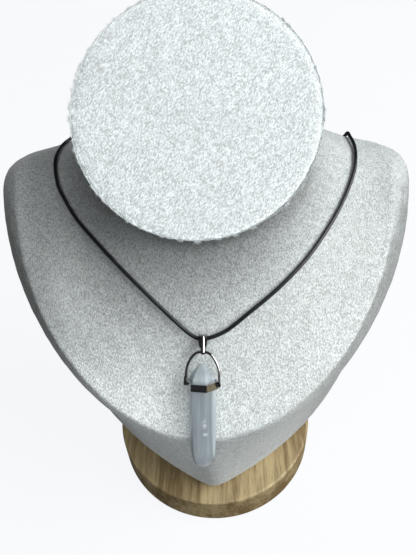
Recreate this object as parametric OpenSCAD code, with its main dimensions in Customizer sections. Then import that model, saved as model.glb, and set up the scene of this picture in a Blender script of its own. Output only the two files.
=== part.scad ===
/* [Wooden base] */
// Diameter of the round base
base_d = 119; // [110:1:130]
// Thickness of the base
base_t = 21; // [16:1:26]
// Radius of the base's edges
base_round = 1.5; // [0.5:0.25:3]

/* [Bust] */
// Scale of the chest's width against the drawn sections
chest_wide = 1; // [0.98:0.01:1.02]
// Softness of the keel that runs down to the base
keel_soft = 0.04; // [0.02:0.01:0.2]
// Softness of the bend from the chest up to the shoulders
shoulder_soft = 3; // [2:0.5:6]
// Rise of the shoulders towards the neck
neck_swell = 12; // [0:1:14]
// Height by which the right shoulder lies lower than the left
shoulder_slant = 2; // [0:0.5:3]

/* [Neck cap] */
// Diameter of the padded disc on the neck
cap_d = 108; // [104:1:112]
// Thickness of the padded disc
cap_t = 4; // [3.5:0.5:6]
// Radius of the padded disc's edges
cap_round = 1.6; // [0.5:0.1:1.7]
// Lean of the disc from level, towards the front
cap_lean = 44; // [43:0.5:46]

/* [Cord] */
// Thickness of the cord
cord_d = 1.8; // [1.5:0.1:1.8]
// Thickness of the barrel clasp behind the neck
clasp_d = 4.5; // [4:0.5:5]

/* [Bail] */
// Length from the cord to the yoke's wire
bail_len = 6.4; // [6:0.1:7]
// Width of the bail at the cord
bail_top_w = 3.7; // [3:0.1:4]
// Width of the bail two thirds of the way down
bail_waist_w = 3; // [2.4:0.1:3.4]
// Width of the bail at the yoke
bail_foot_w = 1.5; // [1.2:0.1:1.8]
// Thickness of the bail's folded strip
bail_wall = 0.4; // [0.3:0.05:0.5]
// Lean of the bail from hanging straight down
bail_lean = 76; // [72:1:80]

/* [Yoke] */
// Thickness of the yoke's wire
wire_d = 1.3; // [1:0.05:1.4]
// Height of the yoke's arch above its widest line
arch_rise = 9.6; // [9:0.1:10.5]
// Depth of the pins below the top of the arch
yoke_drop = 13.6; // [13:0.1:14]
// Lean of the yoke from hanging straight down
yoke_lean = 44; // [44:1:48]
// Turn of the yoke and crystal about their own length
pendant_turn = 14; // [10:1:16]
// Swing of the yoke and crystal to the left
pendant_swing = 4; // [2:0.5:5]

/* [Collar] */
// Radius of the six-sided collar at its corners
collar_r = 7; // [6.8:0.1:7.1]
// Height of the collar
collar_h = 3.1; // [2.8:0.1:3.4]
// Thickness of the collar's wall
collar_wall = 0.6; // [0.4:0.05:0.7]

/* [Crystal] */
// Radius of the crystal's shaft at its corners
crystal_r = 5.9; // [5.5:0.1:6]
// Height of the six-sided point above the pins
crystal_point = 9; // [8.8:0.1:10]
// Lean of the crystal from hanging straight down
crystal_lean = 36; // [36:1:40]

/* [Hidden] */
$fn = 96;
small_fn = 32;
arc_steps = 20;

seam_gap = 0.3;
running_gap = 0.06;
solder_depth = 0.4;

// Joined lengths start this far inside one another, and each is this much thinner
tuck = 0.15;
tuck_step = 0.01;

// Centre of the disc's upper face
cap_mid = [0, 20, 219];

// Column names of the bust's section table
HALF_WIDTH = 0;
FRONT_Y = 1;
FRONT_Z = 2;
SIDE_Y = 3;
SIDE_Z = 4;
BACK_Y = 5;
CEILING = 6;
POINT = 7;
RISE = 8;

// Height of the neck's slanted top where it meets the disc
function neck_top(y) =
    cap_mid[2] + ((y - cap_mid[1]) * sin(cap_lean) - cap_t - seam_gap) / cos(cap_lean);

foot_z = base_t + seam_gap;
open_sky = 300;
foot_slope = 0.02;
swell_reach = 74;
shoulder_span = 184;

// Each row is one loop round the bust, from the neck outwards and down to the base
upper_rows = [
    [49, -12.5, neck_top(-12.5), 21, neck_top(21), 56, open_sky, 0, 1],
    [49, -13.5, 174, 23, 205, 56, 240, 0, 1],
    [52, -21, 166, 27, 195, 58, 220, 0, 1],
    [62, -32, 154.5, 31, 187, 61, 197, 0, 1],
    [75, -44, 138, 35, 183, 64, 185.5, 0, 1],
    [85, -57, 123, 37, 182, 66, 183, 0, 1],
    [92, -69, 108, 37, 183, 68, 182, 0.02, 1]
];
lower_rows = [
    [92, -69, 108, 37, 183, 68, 182, 0.02, 1],
    [99, -68, 98, 40, 176, 71, 181.2, 0.1, 1.05],
    [104, -65, 80, 42, 167, 74, 179, 0.27, 1.25],
    [100, -59, 52, 43, 146, 76, 165, 0.44, 1.8],
    [95, -50, 22, 43, 116, 74, 125, 0.54, 3],
    [74, -48.5, foot_z, 30, 50, 60, 60, 0.5, 3],
    [54, -48, foot_z, 0, foot_z, 44, open_sky, 0.5, 2.5]
];
ring_front = 24;
ring_back = 14;
row_steps = 4;

// The cord's centre line, from the clasp round the right side, the front and the left side
cord_route = [
    [7, 79, 163.5], [11, 79, 163.5], [46, 75, 166.5], [70.2, 68.1, 174.5], [74, 66.2, 178],
    [75, 63.8, 181.4], [75.3, 59.5, 182.2], [75.5, 50.4, 183.4], [75, 43.7, 184],
    [74, 37.3, 184.5], [72.7, 30.2, 182.4], [69.7, 22.4, 179.4], [64.7, 12.3, 175.7],
    [57.6, 0.9, 171.5], [47.1, -12.4, 165.5], [34, -24.2, 159.1], [19.7, -33.5, 152.4],
    [10.3, -38.5, 147.5], [3, -40.9, 145.8], [0, -41.1, 145.6], [-3, -40.8, 146],
    [-7, -38.9, 147.9], [-14.1, -34.2, 152.8], [-24.8, -26.2, 159.9], [-35.9, -16.7, 166.4],
    [-47.3, -5.4, 172.2], [-57.7, 6.9, 176.3], [-66.8, 22, 180.7], [-69.4, 28.8, 183.3],
    [-70.8, 35.2, 185.6], [-71.2, 40.4, 187.2], [-71.5, 47.7, 186.5], [-71.2, 56.7, 185.1],
    [-68.6, 62.2, 185], [-66.6, 66.9, 184.5], [-62.3, 69.8, 180.6], [-58, 71.6, 177.5],
    [-42, 75.5, 167.5], [-11, 79, 163.5], [-7, 79, 163.5]
];
cord_sides = 8;
ring_pitch = 6;

clasp_mid = (cord_route[0] + cord_route[len(cord_route) - 1]) / 2;
clasp_len = cord_route[0][0] - cord_route[len(cord_route) - 1][0];
clasp_ring_d = clasp_d + 0.6;

// The bail turns on the cord where the cord hangs lowest
hang_at = [0, -41.1, 145.6];
bail_top_r = 1.9;
wire_bore_r = wire_d / 2 + running_gap;
bail_eye_r = wire_bore_r + bail_wall;
yoke_at = hang_at - bail_len * [0, sin(bail_lean), cos(bail_lean)];

// The pins stand on two opposite corners of the collar and carry the yoke's flat ends
pin_r = 0.5;
boss_r = 0.9;
head_r = 0.8;
head_t = 0.15;
tab_t = 0.7;
tab_r = 1.1;
tab_up = 3;
leg_end_up = 2.2;
tab_in = collar_r + 0.2;
tab_out = tab_in + tab_t;

// Half of the arch is a short straight, a tight arc at the top and a wide arc down the side
arch_half = tab_out - wire_d / 2;
arch_flat = 1.1;
side_r = 12;
arc_in = arch_flat - arch_half + side_r;
arc_up = (arc_in * arc_in - pow(side_r - arch_rise, 2)) / (2 * (side_r - arch_rise));
top_r = arch_rise - arc_up;
bend = atan2(arc_up, arc_in);

// Column names of the crystal's section table: corner radius is a share of crystal_r
HEIGHT = 0;
CORNER = 1;
ROUNDNESS = 2;

point_rows = [
    [crystal_point, 0.08, 0.2],
    [8.3, 0.27, 0.2],
    [5.4, 0.71, 0.1]
];
shaft_rows = [
    [2.6, 0.95, 0],
    [0, 0.96, 0.2],
    [-4, 0.98, 0.45],
    [-10, 1, 0.5],
    [-20, 0.99, 0.55],
    [-28, 0.94, 0.7],
    [-32.4, 0.84, 0.9],
    [-35.4, 0.62, 1],
    [-36.8, 0.28, 1]
];
crystal_ring = 36;
crystal_steps = 3;

function lerp(a, b, t) = a + (b - a) * t;

// A value that runs as the absolute one does, but rounded off near zero
function soft_abs(v) = sqrt(v * v + keel_soft * keel_soft) - keel_soft;

// One smooth pass through four rows or points, at t between the second and the third
function blend(a, b, c, d, t) =
    0.5 * (2 * b + (c - a) * t + (2 * a - 5 * b + 4 * c - d) * t * t
    + (3 * b - a - 3 * c + d) * t * t * t);

function row_at(rows, i) = rows[max(0, min(len(rows) - 1, i))];

function between(rows, i, t) =
    blend(row_at(rows, i - 1), rows[i], rows[i + 1], row_at(rows, i + 2), t);

function smooth_rows(rows, steps) = [
    for (i = [0 : len(rows) - 2], k = [0 : steps - 1]) between(rows, i, k / steps)
];

function last_row(rows) = rows[len(rows) - 1];

// The lesser of two heights, eased where they cross
function soft_min(a, b) = min(a, b) - shoulder_soft * ln(1 + exp(-abs(a - b) / shoulder_soft));

// The lowest a loop may run: the foot's own height, and slightly more for loops farther out
function loop_floor(row) =
    foot_z + foot_slope * (row[HALF_WIDTH] - last_row(lower_rows)[HALF_WIDTH]);

// Height on a loop, which climbs from the front and levels off at the row's ceiling.
// The ceiling itself swells towards the neck, and slants a little down to the right.
function loop_height(row, x, y) =
    let (
        climb = max(0, (y - row[FRONT_Y]) / (row[SIDE_Y] - row[FRONT_Y])),
        height = lerp(row[FRONT_Z], row[SIDE_Z], pow(climb, row[RISE])),
        swell = neck_swell * max(0, 1 - pow(x / swell_reach, 2)),
        slant = shoulder_slant * x / shoulder_span
    )
    max(loop_floor(row), soft_min(height, row[CEILING] + swell - slant));

// A point on the front of a loop, at an angle from the front centre; side is 1 or -1
function front_point(row, turn, side) =
    let (
        across = sin(turn),
        back = lerp(1 - cos(turn), soft_abs(across) / soft_abs(1), row[POINT]),
        x = side * row[HALF_WIDTH] * across,
        y = lerp(row[FRONT_Y], row[SIDE_Y], back)
    )
    [chest_wide * x, y, loop_height(row, x, y)];

// A point on the back of a loop, at an angle from that side
function back_point(row, turn, side) =
    let (x = side * row[HALF_WIDTH] * cos(turn), y = lerp(row[SIDE_Y], row[BACK_Y], sin(turn)))
    [chest_wide * x, y, loop_height(row, x, y)];

function half_loop(row, side) = concat(
    [for (k = [0 : ring_front - 1]) front_point(row, 90 * pow(k / ring_front, 1.2), side)],
    [for (k = [0 : ring_back]) back_point(row, 90 * k / ring_back, side)]
);

function bust_loop(row) =
    let (right = half_loop(row, 1), left = half_loop(row, -1), last = len(right) - 1)
    concat(right, [for (k = [last - 1 : -1 : 1]) left[k]]);

// A loop of the crystal, between a hexagon and a circle, with a corner on the pins' line
function crystal_loop(row) = [
    for (k = [0 : crystal_ring - 1])
        let (
            turn = 360 * k / crystal_ring,
            flat = cos(30) / cos((turn % 60) - 30),
            r = crystal_r * row[CORNER] * lerp(flat, 1, 0.6 * row[ROUNDNESS])
        )
        [r * cos(turn), r * sin(turn), row[HEIGHT]]
];

function unit(v) = v / norm(v);

function arc_points(centre, radius, from, to) = [
    for (k = [0 : arc_steps])
        let (turn = lerp(from, to, k / arc_steps))
        centre + radius * [cos(turn), sin(turn)]
];

// The stations along the cord: more of them on longer spans, and one at each route point
function cord_stations(route) = concat(
    [
        for (i = [0 : len(route) - 2])
            let (steps = max(1, round(norm(route[i + 1] - route[i]) / ring_pitch)))
            for (k = [0 : steps - 1]) [i, k / steps]
    ],
    [[len(route) - 2, 1]]
);

// A ring of the cord's tube, square to the route
function cord_ring(route, i, t) =
    let (
        reach = 0.02,
        ahead = unit(between(route, i, t + reach) - between(route, i, t - reach)),
        side = unit(cross(ahead, [0, 0, 1])),
        up = cross(side, ahead)
    )
    [
        for (k = [0 : cord_sides - 1])
            let (turn = 360 * (k + 0.5) / cord_sides)
            between(route, i, t) + cord_d / 2 * (cos(turn) * side + sin(turn) * up)
    ];

// A closed skin over loops of equal length, with flat ends
module skin(loops) {
    count = len(loops[0]);
    rings = len(loops);
    sides = [
        for (i = [0 : rings - 2], k = [0 : count - 1])
            let (n = (k + 1) % count)
            each [
                [i * count + k, i * count + n, (i + 1) * count + k],
                [i * count + n, (i + 1) * count + n, (i + 1) * count + k]
            ]
    ];
    first = [for (k = [count - 1 : -1 : 0]) k];
    end = [for (k = [0 : count - 1]) (rings - 1) * count + k];
    polyhedron(points = [for (l = loops, p = l) p], faces = concat(sides, [first, end]), convexity = 6);
}

// A round slab with rounded edges, standing on its lower face
module round_slab(d, t, r) {
    rotate_extrude() {
        square([d / 2 - r, t]);
        translate([0, r])
            square([d / 2, t - 2 * r]);
        for (z = [r, t - r])
            translate([d / 2 - r, z])
                circle(r, $fn = small_fn);
    }
}

// A cylinder along X from one place to another
module rod_x(from, to, r) {
    translate([from, 0, 0])
        rotate([0, 90, 0])
            cylinder(r = r, h = to - from, $fn = small_fn);
}

// An outline in the side view, extruded along X from one place to another
module plate_x(from, to) {
    translate([from, 0, 0])
        rotate([90, 0, 90])
            linear_extrude(to - from)
                children();
}

module both_sides() {
    children();
    mirror([1, 0, 0])
        children();
}

module at_bail() {
    translate(hang_at)
        rotate([-bail_lean, 0, 0])
            children();
}

module at_yoke() {
    translate(yoke_at)
        rotate([-yoke_lean, pendant_swing, 0])
            rotate([0, 0, -pendant_turn])
                children();
}

module at_crystal() {
    at_yoke()
        translate([0, 0, -yoke_drop])
            rotate([yoke_lean - crystal_lean, 0, 0])
                children();
}

module wood_base() {
    color("burlywood")
        round_slab(base_d, base_t, base_round);
}

module bust_body() {
    rows = concat(
        smooth_rows(upper_rows, row_steps),
        smooth_rows(lower_rows, row_steps),
        [last_row(lower_rows)]
    );
    color("gainsboro")
        skin([for (row = rows) bust_loop(row)]);
}

module neck_cap() {
    color("whitesmoke")
        translate(cap_mid)
            rotate([cap_lean, 0, 0])
                translate([0, 0, -cap_t])
                    round_slab(cap_d, cap_t, cap_round);
}

module cord() {
    color("black")
        skin([for (s = cord_stations(cord_route)) cord_ring(cord_route, s[0], s[1])]);
}

module cord_clasp() {
    half = clasp_len / 2;
    color("dimgray")
        translate(clasp_mid) {
            rod_x(-half, half, clasp_d / 2);
            both_sides()
                rod_x(half - 3, half - 1.5, clasp_ring_d / 2);
        }
}

// The bail's side view: a round top, a round foot and the tangents between them
module bail_outline(top, foot) {
    slope = asin((top - foot) / bail_len);
    polygon(concat(
        arc_points([0, 0], top, -slope, 180 + slope),
        arc_points([0, -bail_len], foot, 180 + slope, 360 - slope)
    ));
}

module bail() {
    bore_r = bail_top_r - bail_wall;
    edge = [
        [bail_top_w / 2, 2 * bail_top_r], [bail_top_w / 2, -bail_top_r],
        [bail_waist_w / 2, -bail_len * 2 / 3], [bail_foot_w / 2, bail_eye_r - bail_len],
        [bail_foot_w / 2, -bail_len - 2 * bail_eye_r]
    ];
    color("slategray")
        difference() {
            at_bail()
                intersection() {
                    plate_x(-bail_top_w, bail_top_w)
                        bail_outline(bail_top_r, bail_eye_r);
                    rotate([90, 0, 0])
                        linear_extrude(4 * bail_top_r, center = true)
                            polygon(concat(
                                edge, [for (k = [len(edge) - 1 : -1 : 0]) [-edge[k][0], edge[k][1]]]
                            ));
                }
            at_bail()
                plate_x(-bail_top_w, bail_top_w) {
                    circle(bore_r, $fn = small_fn);
                    polygon([
                        [-bore_r, 0], [bail_wall - bail_top_r + 0.2, -0.5 * bail_len],
                        [0, -0.72 * bail_len],
                        [bail_top_r - bail_wall - 0.2, -0.5 * bail_len], [bore_r, 0]
                    ]);
                }
            at_yoke()
                rod_x(-bail_top_w, bail_top_w, wire_bore_r);
        }
}

// An arc of the yoke's wire in its own plane, between two angles from level
module wire_arc(radius, from, to, wire_r) {
    rotate([90, 0, 0])
        rotate([0, 0, from])
            rotate_extrude(angle = to - from)
                translate([radius, 0])
                    circle(wire_r, $fn = small_fn);
}

module yoke() {
    leg_end = leg_end_up - yoke_drop;
    wire_r = [for (k = [0 : 3]) wire_d / 2 - k * tuck_step];
    color("slategray")
        at_yoke() {
            rod_x(-arch_flat - tuck, arch_flat + tuck, wire_r[0]);
            both_sides() {
                translate([arch_flat, 0, -top_r])
                    wire_arc(top_r, bend, 90, wire_r[1]);
                translate([arch_half - side_r, 0, -arch_rise])
                    wire_arc(side_r, 0, bend + atan(tuck / side_r), wire_r[2]);
                translate([arch_half, 0, leg_end])
                    cylinder(r = wire_r[3], h = tuck - arch_rise - leg_end, $fn = small_fn);
                translate([0, 0, -yoke_drop])
                    plate_x(tab_in, tab_out)
                        difference() {
                            union() {
                                circle(tab_r, $fn = small_fn);
                                translate([-tab_r, 0])
                                    square([2 * tab_r, tab_up]);
                            }
                            circle(pin_r + running_gap, $fn = small_fn);
                        }
            }
        }
}

module hex_collar() {
    inner_r = collar_r - collar_wall;
    lip_r = crystal_r + 0.2;
    color("darkslategray")
        at_crystal() {
            translate([0, 0, -collar_h / 2])
                difference() {
                    cylinder(r = collar_r, h = collar_h, $fn = 6);
                    translate([0, 0, collar_wall])
                        cylinder(r = inner_r, h = collar_h, $fn = 6);
                    translate([0, 0, -collar_wall])
                        cylinder(r = lip_r, h = 3 * collar_wall, $fn = 6);
                }
            both_sides() {
                rod_x(collar_r - solder_depth, tab_in - running_gap, boss_r);
                rod_x(collar_r - solder_depth, tab_out + running_gap + head_t, pin_r);
                rod_x(tab_out + running_gap, tab_out + running_gap + head_t, head_r);
            }
        }
}

module crystal() {
    rows = concat(point_rows, smooth_rows(shaft_rows, crystal_steps), [last_row(shaft_rows)]);
    color("lightsteelblue")
        at_crystal()
            skin([for (row = rows) crystal_loop(row)]);
}

wood_base();
bust_body();
neck_cap();
cord();
cord_clasp();
bail();
yoke();
hex_collar();
crystal();
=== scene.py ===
"""A selenite pendant on a waxed cord, shown on a plush neck bust with a wooden base."""
import math

import bmesh
import bpy
import numpy as np
from bpy.props import FloatProperty, FloatVectorProperty, IntProperty, PointerProperty
from mathutils import Matrix, Vector, noise


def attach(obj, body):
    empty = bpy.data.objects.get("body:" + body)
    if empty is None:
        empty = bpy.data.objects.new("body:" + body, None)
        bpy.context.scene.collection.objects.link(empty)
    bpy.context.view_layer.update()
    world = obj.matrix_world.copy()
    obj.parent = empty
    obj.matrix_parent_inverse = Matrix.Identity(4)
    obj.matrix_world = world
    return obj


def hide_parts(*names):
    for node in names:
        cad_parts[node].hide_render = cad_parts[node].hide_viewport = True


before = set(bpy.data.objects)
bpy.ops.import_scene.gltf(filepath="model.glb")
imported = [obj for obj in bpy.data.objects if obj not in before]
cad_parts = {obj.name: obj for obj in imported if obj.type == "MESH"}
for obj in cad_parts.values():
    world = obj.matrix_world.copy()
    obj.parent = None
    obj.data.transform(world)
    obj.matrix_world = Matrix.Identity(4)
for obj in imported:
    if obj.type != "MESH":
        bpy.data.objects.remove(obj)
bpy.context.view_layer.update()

bl_info = {
    "name": "Selenite pendant on a neck bust",
    "version": (1, 0, 0),
    "blender": (4, 5, 0),
    "location": "3D View > Sidebar > Pendant",
    "description": "Dresses the pendant, its cord and the plush bust that shows it",
    "category": "Object",
}

# The cord's centre line in metres, from the clasp round the right side, the front and the left
CORD_ROUTE = [
    (0.007, 0.079, 0.1635), (0.011, 0.079, 0.1635), (0.046, 0.075, 0.1665),
    (0.0702, 0.0681, 0.1745), (0.074, 0.0662, 0.178), (0.075, 0.0638, 0.1814),
    (0.0753, 0.0595, 0.1822), (0.0755, 0.0504, 0.1834), (0.075, 0.0437, 0.184),
    (0.074, 0.0373, 0.1845), (0.0727, 0.0302, 0.1824), (0.0697, 0.0224, 0.1794),
    (0.0647, 0.0123, 0.1757), (0.0576, 0.0009, 0.1715), (0.0471, -0.0124, 0.1655),
    (0.034, -0.0242, 0.1591), (0.0197, -0.0335, 0.1524), (0.0103, -0.0385, 0.1475),
    (0.003, -0.0409, 0.1458), (0, -0.0411, 0.1456), (-0.003, -0.0408, 0.146),
    (-0.007, -0.0389, 0.1479), (-0.0141, -0.0342, 0.1528), (-0.0248, -0.0262, 0.1599),
    (-0.0359, -0.0167, 0.1664), (-0.0473, -0.0054, 0.1722), (-0.0577, 0.0069, 0.1763),
    (-0.0668, 0.022, 0.1807), (-0.0694, 0.0288, 0.1833), (-0.0708, 0.0352, 0.1856),
    (-0.0712, 0.0404, 0.1872), (-0.0715, 0.0477, 0.1865), (-0.0712, 0.0567, 0.1851),
    (-0.0686, 0.0622, 0.185), (-0.0666, 0.0669, 0.1845), (-0.0623, 0.0698, 0.1806),
    (-0.058, 0.0716, 0.1775), (-0.042, 0.0755, 0.1675), (-0.011, 0.079, 0.1635),
    (-0.007, 0.079, 0.1635),
]
STATION_PITCH = 0.0006

# The middle of the disc's upper face, and the cord's low point in the bail's bore
CAP_MIDDLE = Vector((0, 0.02, 0.219))
CORD_LOW_POINT = Vector((0, -0.0411, 0.1456))
BUST_MIDDLE = Vector((0, 0, 0.15))

# The camera's place, and in degrees its pitch down, its roll and its heading to the left
CAMERA_PLACE = Vector((0.01253, -0.19308, 0.33139))
CAMERA_TURNS = (44.377, -3.847, 3.236)

# Sections of the floor: radius and height, both as shares of half its width
FLOOR_ROWS = [
    (0.001, 0), (0.3, 0), (0.6, 0), (0.8, 0.05), (0.94, 0.2),
    (1, 0.5), (0.9, 0.9), (0.5, 1.3), (0.001, 1.5),
]
FLOOR_DROP = 0.0002

# Sections of the disc from its middle over the edge to the underside: share of the radius, depth
CAP_ROWS = [
    (0.0002, 0), (0.25, 0.0001), (0.5, 0.0001), (0.7, 0.0002), (0.84, 0.0002),
    (0.93, 0.0003), (0.968, 0.0004), (0.986, 0.0007), (0.996, 0.0012), (0.998, 0.0018),
    (0.99, 0.0025), (0.972, 0.0032), (0.945, 0.0038), (0.9, 0.004), (0.0002, 0.004),
]

# Sections of the crystal above and below its collar's top: height from the pins, corner radius
# as a share of the shaft's, and roundness from 0, six-sided, to 1
POINT_ROWS = [
    (0.009, 0.08, 0.2),
    (0.0083, 0.27, 0.2),
    (0.0054, 0.71, 0.1),
]
SHAFT_ROWS = [
    (0.0026, 0.95, 0),
    (0, 0.96, 0.2),
    (-0.004, 0.98, 0.45),
    (-0.01, 1, 0.5),
    (-0.02, 0.99, 0.55),
    (-0.028, 0.94, 0.7),
    (-0.0324, 0.84, 0.9),
    (-0.0354, 0.62, 1),
    (-0.0368, 0.28, 1),
]


def turned(angle, axis):
    """A turn about one of the axes."""
    return Matrix.Rotation(angle, 4, axis)


def crystal_place(sizes):
    """The crystal's own frame: its middle on the pins and its Z along the stone."""
    down_bail = Vector((0, math.sin(sizes.bail_lean), math.cos(sizes.bail_lean)))
    eye = Matrix.Translation(CORD_LOW_POINT - sizes.bail_length * down_bail)
    yoke = turned(sizes.swing, "Y") @ turned(-sizes.yoke_lean, "X") @ turned(-sizes.turn, "Z")
    drop = Matrix.Translation((0, 0, -sizes.yoke_drop))
    return eye @ yoke @ drop @ turned(sizes.yoke_lean - sizes.crystal_lean, "X")


def round_turns(count):
    """Angles evenly round a circle."""
    return np.arange(count) * 2 * math.pi / count


def blend(a, b, c, d, t):
    """One smooth pass through four rows, at t between the second and the third."""
    a, b, c, d = (np.array(row, float) for row in (a, b, c, d))
    return 0.5 * (
        2 * b + (c - a) * t + (2 * a - 5 * b + 4 * c - d) * t**2 + (3 * b - a - 3 * c + d) * t**3
    )


def smooth_rows(rows, steps):
    """Rows with steps(i) smooth ones in place of each row i, and the last row as it is."""
    made = []
    for i in range(len(rows) - 1):
        before, after = rows[max(i - 1, 0)], rows[min(i + 2, len(rows) - 1)]
        count = steps(i)
        made += [blend(before, rows[i], rows[i + 1], after, k / count) for k in range(count)]
    return made + [np.array(rows[-1], float)]


def new_piece(name, points, faces):
    """A smoothly shaded mesh object at the origin, in the frame's own coordinates."""
    mesh = bpy.data.meshes.new(name)
    mesh.from_pydata([tuple(p) for p in points], [], faces)
    mesh.update()
    mesh.polygons.foreach_set("use_smooth", [True] * len(mesh.polygons))
    piece = bpy.data.objects.new(name, mesh)
    bpy.context.scene.collection.objects.link(piece)
    return piece


def skin(loops, closed_ends=True):
    """Points and faces of a tube over loops that each turn clockwise, seen from the next."""
    count = len(loops[0])
    faces = [
        ((i + 1) * count + k, (i + 1) * count + (k + 1) % count,
         i * count + (k + 1) % count, i * count + k)
        for i in range(len(loops) - 1)
        for k in range(count)
    ]
    if closed_ends:
        last = (len(loops) - 1) * count
        faces += [tuple(range(count)), tuple(range(last + count - 1, last - 1, -1))]
    return [p for loop in loops for p in loop], faces


def settle(piece):
    """Turns the piece's modifiers into plain mesh."""
    graph = bpy.context.evaluated_depsgraph_get()
    done = bpy.data.meshes.new_from_object(piece.evaluated_get(graph))
    piece.modifiers.clear()
    piece.data = done
    return piece


def finished(piece, material):
    """Gives a new piece its material."""
    piece.data.materials.clear()
    piece.data.materials.append(material)
    return piece


def finish_node(node, material):
    """Gives a CAD node its material, in the slots that it already has."""
    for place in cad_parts[node].material_slots:
        place.material = material


class Term:
    """A value in a material that varies over the surface, with the operators of a formula."""

    def __init__(self, finish, socket):
        self.finish, self.socket = finish, socket

    def math(self, operation, *others):
        """Adds a Math node whose first value is this one."""
        numbers = dict(enumerate((self, *others)))
        return self.finish.add("ShaderNodeMath", {"operation": operation}, numbers)

    def __add__(self, other):
        return self.math("ADD", other)

    def __sub__(self, other):
        return self.math("SUBTRACT", other)

    def __rsub__(self, other):
        return self.finish.add("ShaderNodeMath", {"operation": "SUBTRACT"}, {0: other, 1: self})

    def __mul__(self, other):
        return self.math("MULTIPLY", other)

    __radd__ = __add__
    __rmul__ = __mul__

    def size(self):
        """The value without its sign."""
        return self.math("ABSOLUTE")

    def squared(self):
        """The value times itself."""
        return self * self

    def root(self):
        """The square root."""
        return self.math("SQRT")

    def rise(self, low, high):
        """0 below low, 1 above high, and a smooth climb between them."""
        ends = {"Value": self, "From Min": low, "From Max": high}
        return self.finish.add("ShaderNodeMapRange", {"interpolation_type": "SMOOTHSTEP"}, ends)

    def band(self, middle, half):
        """1 at the middle and 0 from half away, on both sides."""
        return 1 - (self - middle).size().rise(0, half)


class Finish:
    """A material in the making: its nodes come from one method, its shader from another."""

    def __init__(self, name):
        self.material = bpy.data.materials.new(name)
        self.material.use_nodes = True
        self.tree = self.material.node_tree
        self.tree.nodes.clear()

    def add(self, kind, settings=None, inputs=None, output=0):
        """Adds one node, sets it, then fills its sockets with values or links."""
        node = self.tree.nodes.new(kind)
        for name, value in (settings or {}).items():
            setattr(node, name, value)
        for name, value in (inputs or {}).items():
            if isinstance(value, Term):
                self.tree.links.new(value.socket, node.inputs[name])
            else:
                node.inputs[name].default_value = value
        return Term(self, node.outputs[output] if node.outputs else None)

    def place(self):
        """Position in metres, in the frame's coordinates."""
        return self.add("ShaderNodeTexCoord", output="Object")

    def seen_from(self, matrix, stretch=(1, 1, 1)):
        """Position in the given frame, with each axis divided by its stretch."""
        turn = matrix.to_euler()
        return self.add("ShaderNodeMapping", {"vector_type": "TEXTURE"}, {
            "Vector": self.place(), "Location": matrix.translation,
            "Rotation": turn, "Scale": stretch,
        })

    def length(self, vector):
        """How far a position is from its frame's middle."""
        return self.add("ShaderNodeVectorMath", {"operation": "LENGTH"}, {0: vector}, "Value")

    def axis(self, vector, index):
        """One of a vector's three parts, as a value."""
        return self.add("ShaderNodeSeparateXYZ", None, {0: vector}, index)

    def speckle(self, vector, grain, detail=2.0, roughness=0.5, distortion=0.0):
        """Soft noise whose specks are about the given grain across, in metres."""
        return self.add("ShaderNodeTexNoise", None, {
            "Vector": vector, "Scale": 1 / grain, "Detail": detail,
            "Roughness": roughness, "Distortion": distortion,
        })

    def mixed(self, factor, first, second):
        """A colour between two, by the factor."""
        colours = {0: factor, 6: self.as_colour(first), 7: self.as_colour(second)}
        return self.add("ShaderNodeMix", {"data_type": "RGBA"}, colours, 2)

    def scaled(self, colour, factor):
        """A colour made brighter or darker by a factor."""
        return self.add(
            "ShaderNodeVectorMath", {"operation": "SCALE"}, {"Vector": colour, "Scale": factor}
        )

    @staticmethod
    def as_colour(value):
        """A varying colour as it is, and a plain one with its fourth part."""
        return value if isinstance(value, Term) else (*value, 1)

    def bump(self, height, depth, strength=1.0, normal=None):
        """A normal from a height of 0 to 1 that stands for the given depth in metres."""
        sockets = {"Height": height, "Distance": depth, "Strength": strength}
        if normal:
            sockets["Normal"] = normal
        return self.add("ShaderNodeBump", None, sockets)

    def shader(self, **inputs):
        """The surface: each name is a shader socket with spaces as underscores."""
        named = {name.replace("_", " "): value for name, value in inputs.items()}
        for name in ("Base Color", "Emission Color"):
            if name in named and not isinstance(named[name], Term):
                named[name] = (*named[name], 1)
        surface = self.add("ShaderNodeBsdfPrincipled", None, named)
        self.add("ShaderNodeOutputMaterial", None, {"Surface": surface})
        return self.material


class StageSettings(bpy.types.PropertyGroup):
    floor_size: FloatProperty(
        name="Floor size", description="Width of the pale floor", default=6, unit="LENGTH"
    )
    floor_colour: FloatVectorProperty(
        name="Floor colour", description="Colour of the pale floor",
        default=(0.888, 0.898, 0.918), subtype="COLOR",
    )
    sky: FloatProperty(name="Room light", description="Strength of the even light", default=0.05)
    key: FloatProperty(
        name="Key light", description="Power of the broad light at the right",
        default=42, unit="POWER",
    )
    ceiling: FloatProperty(
        name="Ceiling light", description="Power of the broad light above",
        default=9, unit="POWER",
    )
    front: FloatProperty(
        name="Front light", description="Power of the broad light in front",
        default=15, unit="POWER",
    )
    back: FloatProperty(
        name="Back light", description="Power of the broad light behind",
        default=8, unit="POWER",
    )
    focal_length: FloatProperty(
        name="Focal length", description="Camera's focal length over its long side",
        default=35.86, subtype="DISTANCE_CAMERA",
    )


class CordSettings(bpy.types.PropertyGroup):
    thickness: FloatProperty(
        name="Thickness", description="Thickness of the waxed cord", default=0.0018, unit="LENGTH"
    )
    strands: IntProperty(name="Strands", description="Strands twisted together", default=3)
    strand_pitch: FloatProperty(
        name="Strand pitch", description="Length of one whole turn of a strand",
        default=0.0075, unit="LENGTH",
    )
    strand_depth: FloatProperty(
        name="Strand depth", description="Depth of the grooves as a share of the radius",
        default=0.06, subtype="FACTOR",
    )
    colour: FloatVectorProperty(
        name="Colour", description="Colour of the waxed cotton", default=(0.004, 0.0045, 0.006),
        subtype="COLOR",
    )


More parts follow.
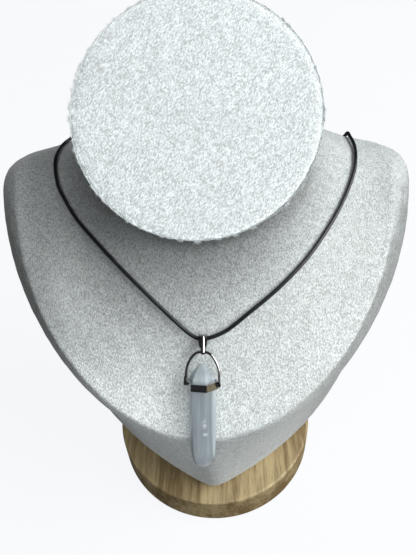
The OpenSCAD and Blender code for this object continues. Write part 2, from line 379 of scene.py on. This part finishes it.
class PlushSettings(bpy.types.PropertyGroup):
    bust_colour: FloatVectorProperty(
        name="Bust colour", description="Colour of the plush on the chest",
        default=(0.55, 0.59, 0.587), subtype="COLOR",
    )
    cap_colour: FloatVectorProperty(
        name="Disc colour", description="Colour of the plush on the neck's disc",
        default=(0.68, 0.735, 0.745), subtype="COLOR",
    )
    chest_lean: FloatProperty(
        name="Chest lean", description="Lean of the chest from level",
        default=math.radians(49), subtype="ANGLE",
    )
    cap_lean: FloatProperty(
        name="Disc lean", description="Lean of the disc from level",
        default=math.radians(44), subtype="ANGLE",
    )
    brushed: FloatProperty(
        name="Disc brushing", description="Turn of the disc's brushed pile across its slope",
        default=math.radians(-35), subtype="ANGLE",
    )
    cap_radius: FloatProperty(
        name="Disc radius", description="Radius of the padded disc", default=0.054, unit="LENGTH"
    )
    pile: FloatProperty(
        name="Pile length", description="Longest fibres that stand out at the disc's edge",
        default=0.0026, unit="LENGTH",
    )
    fibres: IntProperty(
        name="Edge fibres", description="Fibres that stand out round the disc's edge", default=9000
    )
    cell: FloatProperty(
        name="Mesh size", description="Size of the plush surface's mesh",
        default=0.0013, unit="LENGTH",
    )


class WoodSettings(bpy.types.PropertyGroup):
    light: FloatVectorProperty(
        name="Light grain", description="Colour between the grain lines",
        default=(0.41, 0.325, 0.175), subtype="COLOR",
    )
    dark: FloatVectorProperty(
        name="Dark grain", description="Colour of the grain lines", default=(0.17, 0.115, 0.05),
        subtype="COLOR",
    )


class MetalSettings(bpy.types.PropertyGroup):
    colour: FloatVectorProperty(
        name="Colour", description="Colour of the polished metal", default=(0.4, 0.395, 0.39),
        subtype="COLOR",
    )
    polish: FloatProperty(
        name="Roughness", description="Roughness of the polish", default=0.1, subtype="FACTOR"
    )


class CrystalSettings(bpy.types.PropertyGroup):
    radius: FloatProperty(
        name="Radius", description="Radius of the shaft at its corners",
        default=0.0059, unit="LENGTH",
    )
    bail_lean: FloatProperty(
        name="Bail lean", description="Lean of the bail from upright",
        default=math.radians(76), subtype="ANGLE",
    )
    bail_length: FloatProperty(
        name="Bail length", description="From the cord to the yoke's wire",
        default=0.0064, unit="LENGTH",
    )
    yoke_lean: FloatProperty(
        name="Yoke lean", description="Lean of the yoke from upright",
        default=math.radians(44), subtype="ANGLE",
    )
    yoke_drop: FloatProperty(
        name="Yoke drop", description="From the wire's top to the pins",
        default=0.0136, unit="LENGTH",
    )
    turn: FloatProperty(
        name="Turn", description="Turn about the pendant's length",
        default=math.radians(14), subtype="ANGLE",
    )
    swing: FloatProperty(
        name="Swing", description="Swing to the left", default=math.radians(4), subtype="ANGLE"
    )
    crystal_lean: FloatProperty(
        name="Crystal lean", description="Lean of the crystal from upright",
        default=math.radians(36), subtype="ANGLE",
    )
    body_colour: FloatVectorProperty(
        name="Stone colour", description="Colour of the clear stone",
        default=(0.28, 0.32, 0.345), subtype="COLOR",
    )
    fibre_colour: FloatVectorProperty(
        name="Fibre colour", description="Colour of the milky fibres",
        default=(0.62, 0.7, 0.74), subtype="COLOR",
    )


class PendantSettings(bpy.types.PropertyGroup):
    stage: PointerProperty(type=StageSettings)
    cord: PointerProperty(type=CordSettings)
    plush: PointerProperty(type=PlushSettings)
    wood: PointerProperty(type=WoodSettings)
    metal: PointerProperty(type=MetalSettings)
    crystal: PointerProperty(type=CrystalSettings)


def place_camera(settings):
    """The camera at the photograph's angle, as worked out from the base, the rim and the disc."""
    pitch, roll, heading = (math.radians(angle) for angle in CAMERA_TURNS)
    ahead = Vector((
        -math.sin(heading) * math.cos(pitch), math.cos(heading) * math.cos(pitch), -math.sin(pitch)
    ))
    level = Vector((math.cos(heading), math.sin(heading), 0))
    upward = level.cross(ahead)
    right = math.cos(roll) * level + math.sin(roll) * upward
    up = math.cos(roll) * upward - math.sin(roll) * level
    lens = bpy.data.cameras.new("camera")
    lens.sensor_fit = "AUTO"
    lens.sensor_width = 36
    lens.lens = settings.focal_length
    lens.clip_start, lens.clip_end = 0.01, 20
    camera = bpy.data.objects.new("camera", lens)
    turn = Matrix((right, up, -ahead)).transposed().to_4x4()
    camera.matrix_world = Matrix.Translation(CAMERA_PLACE) @ turn
    bpy.context.scene.collection.objects.link(camera)
    bpy.context.scene.camera = camera


def add_light(name, place, target, size, power, colour=(1, 1, 1), mirrored=True):
    """A soft square light that faces its target; polished metal shows it only if mirrored."""
    lamp = bpy.data.lights.new(name, "AREA")
    lamp.shape, lamp.size, lamp.energy, lamp.color = "SQUARE", size, power, colour
    light = bpy.data.objects.new(name, lamp)
    place, target = Vector(place), Vector(target)
    light.location = place
    light.rotation_euler = (target - place).to_track_quat("-Z", "Y").to_euler()
    light.visible_camera = False
    light.visible_glossy = mirrored
    bpy.context.scene.collection.objects.link(light)


def pale_sweep(settings):
    """The floor: flat under the bust, then curving up all round like a photographer's sweep."""
    half = settings.floor_size / 2
    loops = [
        [(half * r * math.cos(a), half * r * math.sin(a), half * z - FLOOR_DROP)
         for a in round_turns(64)]
        for r, z in FLOOR_ROWS
    ]
    points, faces = skin(loops, closed_ends=False)
    paper = Finish("pale_paper")
    return finished(new_piece("floor", points, faces), paper.shader(
        Base_Color=(0.06, 0.06, 0.06), Roughness=0.9, Specular_IOR_Level=0.1,
        Emission_Color=settings.floor_colour, Emission_Strength=1.0,
    ))


class PENDANT_OT_stage(bpy.types.Operator):
    """Sets the camera, the pale floor and the soft studio light"""

    bl_idname = "pendant.stage"
    bl_label = "Stage"

    def execute(self, context):
        settings = context.scene.pendant.stage
        place_camera(settings)
        backdrop = pale_sweep(settings)
        for seen in ("visible_diffuse", "visible_glossy", "visible_shadow"):
            setattr(backdrop, seen, False)
        world = bpy.data.worlds.new("room")
        world.use_nodes = True
        sky = world.node_tree.nodes["Background"]
        sky.inputs["Color"].default_value = (0.93, 0.96, 1, 1)
        sky.inputs["Strength"].default_value = settings.sky
        context.scene.world = world
        bust, pendant = BUST_MIDDLE, CORD_LOW_POINT
        add_light("key_light", (1.3, -0.3, 1.25), bust, 1.3, settings.key)
        add_light("ceiling_light", (0, -1.0, 1.6), bust, 2, settings.ceiling, mirrored=False)
        add_light("front_light", (0.3, -1.7, 0.9), bust, 2, settings.front, mirrored=False)
        add_light("back_light", (-0.3, 1.8, 0.8), bust, 1.6, settings.back, mirrored=False)
        add_light("glint", (0.78, 0.2, 1.13), pendant, 0.25, 0.9, (1, 0.99, 0.96))
        add_light("warm_card", (0.44, -0.12, 0.034), pendant, 0.2, 0.048, (1, 0.86, 0.56))
        context.scene.view_settings.view_transform = "Standard"
        return {"FINISHED"}


def cord_stations(route, pitch):
    """Points along the route, about one pitch apart."""
    def steps(i):
        """How many stations stand for the stretch after point i."""
        return max(1, round(math.dist(route[i], route[i + 1]) / pitch))
    return smooth_rows(route, steps)


def cord_loops(line, settings):
    """Rings of the twisted cord round its centre line."""
    line = np.array(line)
    ahead = np.gradient(line, axis=0)
    ahead /= np.linalg.norm(ahead, axis=1)[:, None]
    side = np.cross(ahead, (0, 0, 1))
    side /= np.linalg.norm(side, axis=1)[:, None]
    up = np.cross(side, ahead)
    along = np.concatenate(([0], np.cumsum(np.linalg.norm(np.diff(line, axis=0), axis=1))))
    angles = round_turns(16)
    loops = []
    for i, middle in enumerate(line):
        phase = settings.strands * (angles + 2 * math.pi * along[i] / settings.strand_pitch)
        groove = settings.strand_depth * (np.abs(np.sin(phase / 2)) - 1)
        radius = settings.thickness / 2 * (1 + groove)
        ring = middle + radius[:, None] * (
            np.cos(angles)[:, None] * side[i] + np.sin(angles)[:, None] * up[i]
        )
        loops.append(ring)
    return loops


def waxed_cotton(settings):
    """Black cotton with a worn wax coat: satin, with fine fibres and dull patches."""
    look = Finish("waxed_cotton")
    place = look.place()
    fibres = look.speckle(place, 0.0004, 3, 0.7)
    worn = look.speckle(place, 0.006, 2).rise(0.45, 0.75)
    dusty = tuple(4 * c for c in settings.colour)
    colour = look.mixed(0.5 * worn + 0.35 * fibres.rise(0.5, 0.8), tuple(settings.colour), dusty)
    return look.shader(
        Base_Color=colour, Roughness=0.28 + 0.15 * worn + 0.1 * fibres,
        Specular_IOR_Level=0.5, Coat_Weight=0.2, Coat_Roughness=0.3,
        Normal=look.bump(fibres, 0.00008),
    )


class PENDANT_OT_cord(bpy.types.Operator):
    """Makes the waxed cord round the neck"""

    bl_idname = "pendant.cord"
    bl_label = "Cord"

    def execute(self, context):
        settings = context.scene.pendant.cord
        line = cord_stations(CORD_ROUTE, STATION_PITCH)
        points, faces = skin(cord_loops(line, settings))
        cord = finished(new_piece("twisted_cord", points, faces), waxed_cotton(settings))
        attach(cord, "stand")
        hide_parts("cord")
        line[::3] + [line[-1]]
        return {"FINISHED"}


def plush(name, colour, lie, grain, stretch, tone_and_light_at):
    """Short-pile plush: tufts stretched along the lie, on softer clumps, with a tone over all that
    carries painted light and shade.
    """
    look = Finish(name)
    tufts = look.speckle(look.seen_from(lie, (1, stretch, 1)), grain, 1.5, 0.7, 0.15)
    clumps = look.speckle(look.place(), 0.0028, 2, 0.5)
    patches = look.speckle(look.place(), 0.03, 2, 0.5)
    pile = (0.76 * tufts + 0.18 * clumps + 0.06 * patches).rise(0.34, 0.66)
    shade, tip = (tuple(share * c for c in colour) for share in (0.6, 1.18))
    return look.shader(
        Base_Color=look.scaled(look.mixed(pile, shade, tip), tone_and_light_at(look)),
        Roughness=0.8 + 0.15 * tufts, Specular_IOR_Level=0.15,
        Sheen_Weight=0.2, Sheen_Roughness=0.5,
        Normal=look.bump(0.8 * tufts + 0.2 * clumps, 0.0005, 0.8),
    )


def chest_shading_and_grain(look):
    """Painted light and shade on the chest: darker round the throat under the disc, on the steep
    sides and on the left shoulder; lighter low on the left and down the chest; with coarser grain
    on the sides.
    """
    across, depth, height = (look.axis(look.place(), i) for i in range(3))
    from_neck = ((across + 0.007).squared() + (depth - 0.028).squared()).root()
    leftward = across * -1
    upright = look.axis(look.add("ShaderNodeNewGeometry", output="Normal"), 2)
    side = (1 - upright.rise(0.32, 0.58)) * (0.3 + 0.7 * across.size().rise(0.03, 0.07))
    low = 1 - height.rise(0.118, 0.14)
    specks = look.speckle(look.place(), 0.0007, 2, 0.7) - 0.5
    # Painted shade round the throat, on the steep sides and on the left shoulder; painted light
    # low on the left and lower down the chest.
    throat_shade = 0.45 + 0.49 * from_neck.rise(0.045, 0.072)
    side_shade = 1 - 0.48 * side
    left_shoulder_shade = 1 - 0.32 * leftward.rise(0.055, 0.085)
    low_left_light = 1 + 0.42 * leftward.rise(-0.005, 0.015) * low
    lower_chest_light = 1.2 - 0.3 * height.rise(0.1, 0.19)
    coarse_side = 1 + 1.2 * side * specks
    return throat_shade * side_shade * left_shoulder_shade * low_left_light * lower_chest_light * coarse_side


def cap_tone_and_sheen(place):
    """The disc's tone: soft changes from brushing, and a painted sheen that makes it paler towards
    the edge.
    """
    def tone_and_light_at(look):
        # Painted sheen: paler towards the disc's edge.
        edge = look.length(look.seen_from(place)).rise(0.0505, 0.0535)
        return 0.96 + 0.04 * look.speckle(look.place(), 0.05) + 0.22 * edge
    return tone_and_light_at


def copied(node, name):
    """A new object with a CAD node's faces, and its corners joined."""
    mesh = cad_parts[node].data.copy()
    work = bmesh.new()
    work.from_mesh(mesh)
    bmesh.ops.remove_doubles(work, verts=work.verts, dist=1e-6)
    work.to_mesh(mesh)
    work.free()
    piece = bpy.data.objects.new(name, mesh)
    bpy.context.scene.collection.objects.link(piece)
    return piece


def sink(piece, depth, grain, share=1.0):
    """Presses the surface in by up to depth, in soft spots, times each point's share."""
    mesh = piece.data
    count = len(mesh.vertices)
    places, normals = np.empty(count * 3), np.empty(count * 3)
    mesh.vertices.foreach_get("co", places)
    mesh.vertices.foreach_get("normal", normals)
    places, normals = places.reshape(-1, 3), normals.reshape(-1, 3)
    dips = np.array([noise.noise(Vector(p) / grain) for p in places])
    places -= normals * (share * depth * (0.5 + 0.5 * dips))[:, None]
    mesh.vertices.foreach_set("co", places.ravel())
    mesh.update()


def bust_surface(settings):
    """The plush over the bust's shell: an even skin, eased at its edges."""
    bust = copied("bust_body", "plush_bust")
    grid = bust.modifiers.new("grid", "REMESH")
    grid.mode, grid.voxel_size, grid.use_smooth_shade = "VOXEL", settings.cell, True
    ease = bust.modifiers.new("ease", "SMOOTH")
    ease.factor, ease.iterations = 0.5, 2
    settle(bust)
    sink(bust, 0.00035, 0.006)
    return bust


def cap_frame(settings):
    """The disc's own frame: its middle on the upper face and its Z square to it."""
    return Matrix.Translation(CAP_MIDDLE) @ turned(settings.cap_lean, "X")


def cap_surface(settings):
    """The padded disc: it rolls over its edge into a tucked underside, and the edge is tufted."""
    around = round_turns(720)
    place = cap_frame(settings)
    rows = [(share * settings.cap_radius, -depth) for share, depth in CAP_ROWS]
    rows = smooth_rows(rows, lambda i: 6)
    loops = [
        [place @ Vector((r * math.cos(a), r * math.sin(a), z)) for a in around] for r, z in rows
    ]
    points, faces = skin(loops)
    cap = new_piece("plush_disc", points, faces)
    sink(cap, 0.0003, 0.008)
    reach = np.repeat([r for r, z in rows], len(around)) / settings.cap_radius
    sink(cap, 0.0008, 0.0021, np.clip((reach - 0.93) / 0.05, 0, 1))
    return cap


def fibre(root, way, bow, length, thickness):
    """One closed fibre: three-sided, bowed to one side and ending in a point."""
    side = way.cross(bow).normalized()
    turns = [2 * math.pi * k / 3 for k in range(3)]
    across = [math.cos(a) * side + math.sin(a) * side.cross(way).normalized() for a in turns]
    middle = root + length * (0.55 * way + 0.1 * bow)
    tip = root + length * (0.95 * way + 0.35 * bow)
    points = [root + thickness * a for a in across]
    points += [middle + 0.7 * thickness * a for a in across]
    faces = [(3 + k, 3 + (k + 1) % 3, (k + 1) % 3, k) for k in range(3)]
    faces += [(6, 3 + (k + 1) % 3, 3 + k) for k in range(3)] + [(0, 1, 2)]
    return [*points, tip], faces


def cap_fringe(settings):
    """The pile round the disc's edge, in uneven tufts that stand out."""
    place = cap_frame(settings)
    up = Vector((0, 0, 1))
    chance = np.random.default_rng(4)
    root_radius, tuft_size, thickness = 0.984 * settings.cap_radius, 0.0022, 0.00005
    points, faces = [], []
    for a, lift, reach, swerve in chance.random((settings.fibres, 4)).tolist():
        around = 2 * math.pi * a
        outward = Vector((math.cos(around), math.sin(around), 0))
        along = Vector((-outward.y, outward.x, 0))
        tuft = 0.35 + 1.1 * max(0, noise.noise(settings.cap_radius * outward / tuft_size))
        way = (outward + (0.1 + 0.6 * lift) * up + (1.6 * swerve - 0.8) * along).normalized()
        root = root_radius * outward - (0.0004 + 0.0006 * (1 - lift)) * up
        length = settings.pile * tuft * (0.4 + 0.6 * reach)
        bow = (swerve - 0.5) * along - 0.2 * up
        made, sides = fibre(root, way, bow, length, thickness)
        faces += [tuple(len(points) + k for k in side) for side in sides]
        points += [place @ p for p in made]
    return new_piece("disc_fringe", points, faces)


class PENDANT_OT_plush(bpy.types.Operator):
    """Covers the bust and the neck's disc with plush"""

    bl_idname = "pendant.plush"
    bl_label = "Plush"

    def execute(self, context):
        settings = context.scene.pendant.plush
        lie = turned(settings.chest_lean, "X")
        pile = plush("chest_plush", settings.bust_colour, lie, 0.0006, 1.7, chest_shading_and_grain)
        bust = finished(bust_surface(settings), pile)
        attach(bust, "stand")
        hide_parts("bust_body")
        lie = turned(settings.cap_lean, "X") @ turned(settings.brushed, "Z")
        tone = cap_tone_and_sheen(cap_frame(settings))
        pile = plush("disc_plush", settings.cap_colour, lie, 0.00045, 2.6, tone)
        cap = finished(cap_surface(settings), pile)
        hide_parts("neck_cap")
        for piece in (cap, finished(cap_fringe(settings), pile)):
            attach(piece, "stand")
        return {"FINISHED"}


def oak(settings):
    """Pale oak with straight grain from front to back, pores, and end grain at the front."""
    look = Finish("pale_oak")
    level = Matrix.Identity(4)
    boards = look.seen_from(level, (1, 14, 1.6))
    bands = look.speckle(boards, 0.012, 3, 0.55, 0.4)
    lines = look.speckle(boards, 0.0022, 3, 0.7)
    pores = look.speckle(look.seen_from(level, (1, 10, 1)), 0.0007, 2).rise(0.58, 0.72)
    grain = (0.55 * bands + 0.45 * lines).rise(0.38, 0.62)
    grained = look.mixed(grain, tuple(settings.light), tuple(settings.dark))
    pore_colour = tuple(0.5 * c for c in settings.dark)
    return look.shader(
        Base_Color=look.mixed(0.5 * pores, grained, pore_colour),
        Roughness=0.42 + 0.2 * grain, Specular_IOR_Level=0.4,
        Coat_Weight=0.15, Coat_Roughness=0.35,
        Normal=look.bump(1 - pores - 0.3 * grain, 0.00015, 0.5),
    )


class PENDANT_OT_wood(bpy.types.Operator):
    """Gives the base its oiled wood"""

    bl_idname = "pendant.wood"
    bl_label = "Wood"

    def execute(self, context):
        finish_node("wood_base", oak(context.scene.pendant.wood))
        return {"FINISHED"}


def polished(name, settings, grain, half_width=None):
    """Dark polished plating with fine lines, and a crown across a strip of that half width."""
    look = Finish(name)
    marks = look.speckle(look.place(), 0.003, 3, 0.6)
    lines = look.speckle(look.seen_from(Matrix.Identity(4), (1, 1, 6)), grain, 2)
    worn = tuple(1.5 * c for c in settings.colour)
    normal = look.bump(lines, 0.000012, 0.5)
    if half_width:
        share = look.axis(look.place(), 0) * (1 / half_width)
        normal = look.bump(1 - share.squared(), 1.05 * half_width, normal=normal)
    return look.shader(
        Base_Color=look.mixed(marks.rise(0.4, 0.8), tuple(settings.colour), worn),
        Metallic=1.0, Roughness=settings.polish + 0.08 * marks.rise(0.45, 0.75) + 0.04 * lines,
        Normal=normal,
    )


class PENDANT_OT_metal(bpy.types.Operator):
    """Plates the bail, yoke, collar and clasp"""

    bl_idname = "pendant.metal"
    bl_label = "Metal"

    def execute(self, context):
        settings = context.scene.pendant.metal
        finish_node("bail", polished("bail_plating", settings, 0.0003, 0.0018))
        finish_node("yoke", polished("yoke_plating", settings, 0.0003))
        finish_node("hex_collar", polished("collar_plating", settings, 0.0004))
        finish_node("cord_clasp", polished("clasp_plating", settings, 0.0004))
        return {"FINISHED"}


def crystal_loop(row, radius, count):
    """One loop of the stone, between a hexagon and a circle, with a corner on the pins' line."""
    height, corner, roundness = row
    loop = []
    for k in range(count):
        turn = 360 * k / count
        flat = math.cos(math.radians(30)) / math.cos(math.radians(turn % 60 - 30))
        reach = radius * corner * (flat + (1 - flat) * 0.6 * roundness)
        turn = math.radians(turn)
        loop.append(Vector((reach * math.cos(turn), reach * math.sin(turn), height)))
    return loop


def selenite(settings, place):
    """Milky clear stone: long fibres, veils and a few flaws, with painted light on its pale edges
    and on its left side, a painted shade line beside the edges, and a painted highlight at its
    bottom.
    """
    look = Finish("selenite")
    own = look.seen_from(place)
    across, depth, height = (look.axis(own, i) for i in range(3))

    def flaw(centre, reach):
        """1 within a long spot of the stone's own frame, and 0 outside it."""
        spot = look.seen_from(place @ Matrix.Translation(centre), reach)
        return 1 - look.length(spot).rise(0.45, 1)

    threads = look.speckle(look.seen_from(place, (1, 1, 40)), 0.0008, 3, 0.6)
    veils = look.speckle(look.seen_from(place, (1, 1, 5)), 0.004, 3, 0.55, 0.6)
    ragged = look.speckle(own, 0.0007, 3, 0.7)
    # Painted light: pale strips along both edges of the shaft, with a painted shade line just
    # inside them.
    edges = across.size().rise(0.0042, 0.0052)
    line = across.size().band(0.0043, 0.0008)
    tip = height.rise(0.003, 0.007)
    in_collar = height.band(0.003, 0.0035)
    # Painted highlight: the bottom of the stone turns near white.
    lit_end = (height * -1).rise(0.0335, 0.036)
    white = (
        0.5 * flaw((0.0018, -0.005, -0.0155), (0.0016, 0.004, 0.003))
        + flaw((0.0022, -0.005, -0.0165), (0.0007, 0.004, 0.0013))
        + flaw((0.0024, -0.005, -0.0203), (0.0013, 0.004, 0.001))
    ) * ragged.rise(0.42, 0.5)
    speck = flaw((-0.0055, -0.002, -0.0125), (0.0006, 0.0012, 0.0005))
    # Painted light: the left side of the stone is lighter.
    lit_left_side = (across * -1).rise(-0.006, 0.0055)
    milk_and_light = (
        0.25 * threads.rise(0.35, 0.75) + 0.25 * veils.rise(0.4, 0.7)
        + 0.65 * edges + 0.5 * lit_left_side
    )
    clear, fibrous = tuple(settings.body_colour), tuple(settings.fibre_colour)
    shadow = tuple(0.4 * c for c in clear)
    # The fibrous mix carries painted light on the pale edges and the left side; the dark line
    # mixed in next is painted shade.
    colour = look.mixed(milk_and_light + 0.5 * tip + 0.7 * in_collar, clear, fibrous)
    colour = look.mixed(0.3 * line, colour, shadow)
    # White flaws, and the painted highlight at the bottom, share one near-white colour.
    colour = look.mixed(0.95 * white + 0.9 * lit_end, colour, (0.86, 0.9, 0.92))
    return look.shader(
        Base_Color=look.mixed(0.8 * speck, colour, (0.03, 0.03, 0.03)),
        Roughness=0.25 + 0.1 * threads, IOR=1.52, Alpha=0.92 - 0.3 * tip,
        Transmission_Weight=0.4, Subsurface_Weight=0.7,
        Subsurface_Radius=(0.9, 0.95, 1.0), Subsurface_Scale=0.006,
        Coat_Weight=0.3, Coat_Roughness=0.05,
        Normal=look.bump(threads, 0.00004, 0.4),
    )


class PENDANT_OT_crystal(bpy.types.Operator):
    """Cuts the selenite point"""

    bl_idname = "pendant.crystal"
    bl_label = "Crystal"

    def execute(self, context):
        settings = context.scene.pendant.crystal
        place = crystal_place(settings)
        rows = smooth_rows(SHAFT_ROWS, lambda i: 6)
        loops = [
            [place @ p for p in crystal_loop(row, settings.radius, 96)]
            for row in [*POINT_ROWS, *rows]
        ]
        points, faces = skin(loops)
        stone = new_piece("selenite_point", points, faces)
        stone.data.set_sharp_from_angle(angle=math.radians(20))
        finished(stone, selenite(settings, place))
        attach(stone, "stone")
        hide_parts("crystal")
        return {"FINISHED"}


class PENDANT_PT_panel(bpy.types.Panel):
    """Lists the steps that dress the pendant and its bust"""

    bl_label = "Selenite pendant"
    bl_space_type = "VIEW_3D"
    bl_region_type = "UI"
    bl_category = "Pendant"

    def draw(self, context):
        settings = context.scene.pendant
        for operator, group in STEPS:
            self.layout.operator(operator.bl_idname)
            box = self.layout.box()
            for name in getattr(settings, group).bl_rna.properties.keys():
                if name not in ("rna_type", "name"):
                    box.prop(getattr(settings, group), name)


STEPS = [
    (PENDANT_OT_stage, "stage"),
    (PENDANT_OT_cord, "cord"),
    (PENDANT_OT_plush, "plush"),
    (PENDANT_OT_wood, "wood"),
    (PENDANT_OT_metal, "metal"),
    (PENDANT_OT_crystal, "crystal"),
]
CLASSES = [
    StageSettings, CordSettings, PlushSettings, WoodSettings, MetalSettings, CrystalSettings,
    PendantSettings, *(operator for operator, group in STEPS), PENDANT_PT_panel,
]


def register():
    """Adds the settings, steps and panel to Blender."""
    for cls in CLASSES:
        bpy.utils.register_class(cls)
    bpy.types.Scene.pendant = PointerProperty(type=PendantSettings)


def unregister():
    """Takes the settings, steps and panel out again."""
    del bpy.types.Scene.pendant
    for cls in reversed(CLASSES):
        bpy.utils.unregister_class(cls)


def main():
    """Runs every step in order."""
    register()
    for operator, group in STEPS:
        getattr(bpy.ops.pendant, group)()


if __name__ == "__main__":
    main()
